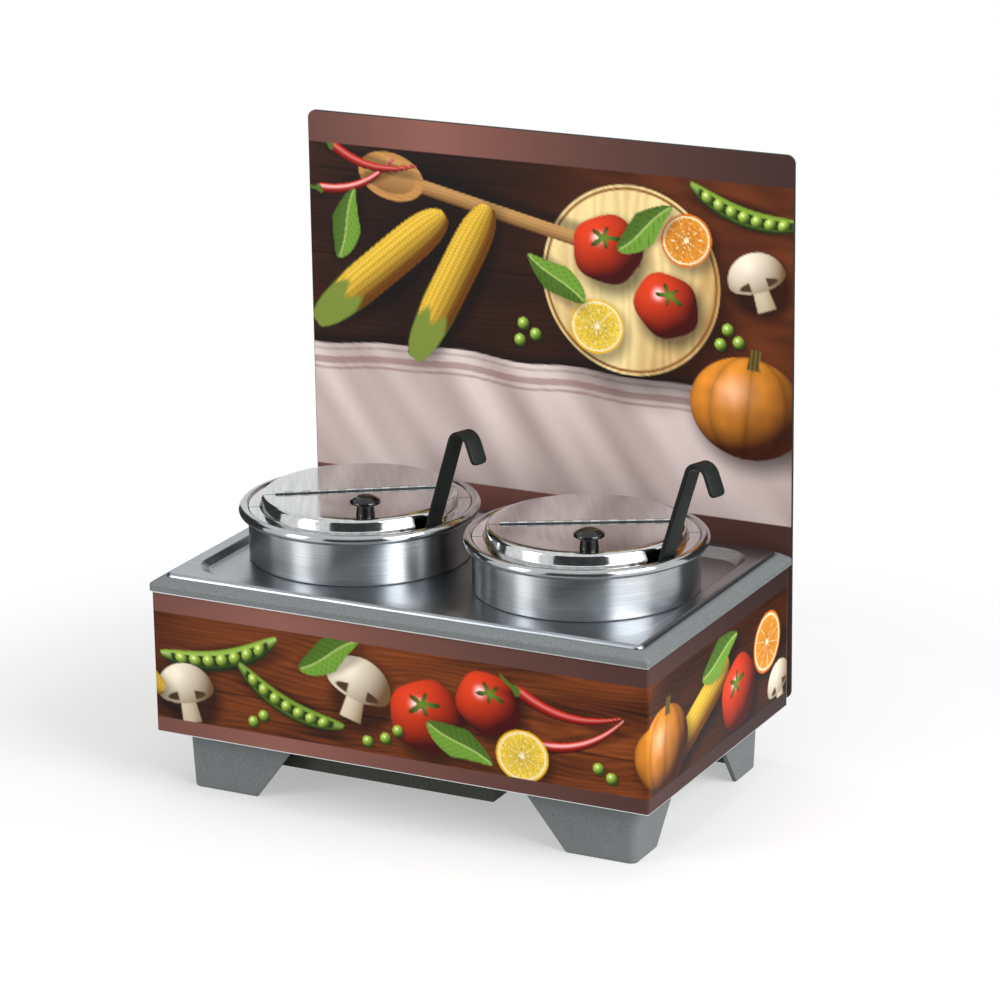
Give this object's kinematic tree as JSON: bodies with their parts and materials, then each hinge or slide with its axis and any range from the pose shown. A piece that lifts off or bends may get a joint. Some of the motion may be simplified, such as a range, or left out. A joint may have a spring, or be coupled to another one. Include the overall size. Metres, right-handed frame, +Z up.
{
  "type": "soup kettle",
  "caption": "Countertop soup kettle: heated water well in a resin base, drop-in pots with hinged lids and ladles, printed wrap and tall printed back board.",
  "frame": {"origin": "on the counter, midway between the four feet, under the middle of the adaptor plate", "axes": "+X to the right seen from the front, -Y to the front, where the lids open, +Z up"},
  "size_m": [0.578, 0.3506, 0.6374],
  "materials": {
    "resin": "speckled grey moulded resin, fine texture",
    "steel_pan": "drawn stainless steel, satin",
    "steel_plate": "brushed stainless steel sheet",
    "steel_pot": "satin collar with a polished bead",
    "steel_lid": "polished stainless steel",
    "steel_hinge": "bare stainless steel",
    "steel_ladle": "polished stainless steel",
    "screw_steel": "bright zinc plate",
    "printed_sheet": "satin printed film on sheet",
    "printed_board": "satin printed film on black board",
    "galvanised_sheet": "galvanised sheet, spangled",
    "fibre_blanket": "glass-fibre blanket",
    "element_sheath": "heat-tinted steel sheath",
    "box_paint": "dark olive-black paint, satin",
    "black_phenolic": "moulded black phenolic",
    "black_nylon": "moulded black nylon",
    "black_grip": "moulded black grip, satin",
    "white_nylon": "moulded natural nylon",
    "wire_sleeve": "braided glass sleeve",
    "copper_bulb": "copper, plain",
    "amber_lens": "clear amber lens"
  },
  "bodies": {
    "base": {"housing": "resin", "well_pan": "steel_pan", "wrap_panel": "printed_sheet", "wrap_screws": "screw_steel", "back_board": "printed_board", "board_screws": "screw_steel", "board_standoffs": "black_nylon", "heater_cover": "galvanised_sheet", "cover_screws": "screw_steel", "insulation_blanket": "fibre_blanket", "heating_element": "element_sheath", "element_clamps": "galvanised_sheet", "control_box": "box_paint", "box_screws": "screw_steel", "thermostat_switch": "black_phenolic", "thermostat_bulb": "copper_bulb", "pilot_lamp": "black_nylon", "pilot_lens": "amber_lens", "cord_gland": "black_nylon", "terminal_block": "white_nylon", "terminal_screws": "screw_steel", "lead_wires": "wire_sleeve"},
    "plate": {"adaptor_plate": "steel_plate"},
    "dial": {"thermostat_dial": "black_phenolic", "thermostat_spindle": "screw_steel"},
    "left_pot": {"left_pot": "steel_pot"},
    "left_lid": {"left_lid_rear": "steel_lid", "left_hinge_rear_leaf": "steel_hinge", "left_hinge_pin": "steel_hinge"},
    "left_flap": {"left_lid_flap": "steel_lid", "left_hinge_front_leaf": "steel_hinge", "left_lid_knob": "black_phenolic", "left_knob_screw": "screw_steel"},
    "left_ladle": {"left_ladle": "steel_ladle", "left_ladle_grip": "black_grip"},
    "right_pot": {"right_pot": "steel_pot"},
    "right_lid": {"right_lid_rear": "steel_lid", "right_hinge_rear_leaf": "steel_hinge", "right_hinge_pin": "steel_hinge"},
    "right_flap": {"right_lid_flap": "steel_lid", "right_hinge_front_leaf": "steel_hinge", "right_lid_knob": "black_phenolic", "right_knob_screw": "screw_steel"},
    "right_ladle": {"right_ladle": "steel_ladle", "right_ladle_grip": "black_grip"}
  },
  "joints": [
    {"name": "plate_lift", "type": "slide", "parent": "base", "child": "plate", "axis": [0, 0, 1], "range_m": [0, 0.16]},
    {"name": "thermostat_turn", "type": "hinge", "parent": "base", "child": "dial", "pos_m": [-0.0635, 0.128, 0.036], "axis": [0, 1, 0], "range_deg": [0, 270]},
    {"name": "left_pot_lift", "type": "slide", "parent": "plate", "child": "left_pot", "axis": [0, 0, 1], "range_m": [0, 0.15]},
    {"name": "left_lid_lift", "type": "slide", "parent": "left_pot", "child": "left_lid", "axis": [0, 0, 1], "range_m": [0, 0.05]},
    {"name": "left_flap_hinge", "type": "hinge", "parent": "left_lid", "child": "left_flap", "pos_m": [-0.12775, 0, 0.29026], "axis": [-0.8387, -0.5446, 0], "range_deg": [0, 155]},
    {"name": "left_ladle_draw", "type": "slide", "parent": "left_pot", "child": "left_ladle", "axis": [0.3291, -0.1198, 0.9367], "range_m": [0, 0.12]},
    {"name": "right_pot_lift", "type": "slide", "parent": "plate", "child": "right_pot", "axis": [0, 0, 1], "range_m": [0, 0.05]},
    {"name": "right_lid_lift", "type": "slide", "parent": "right_pot", "child": "right_lid", "axis": [0, 0, 1], "range_m": [0, 0.05]},
    {"name": "right_flap_hinge", "type": "hinge", "parent": "right_lid", "child": "right_flap", "pos_m": [0.12775, 0, 0.29026], "axis": [-0.8829, -0.4695, 0], "range_deg": [0, 155]},
    {"name": "right_ladle_draw", "type": "slide", "parent": "right_pot", "child": "right_ladle", "axis": [0.3291, -0.1198, 0.9367], "range_m": [0, 0.12]}
  ]
}
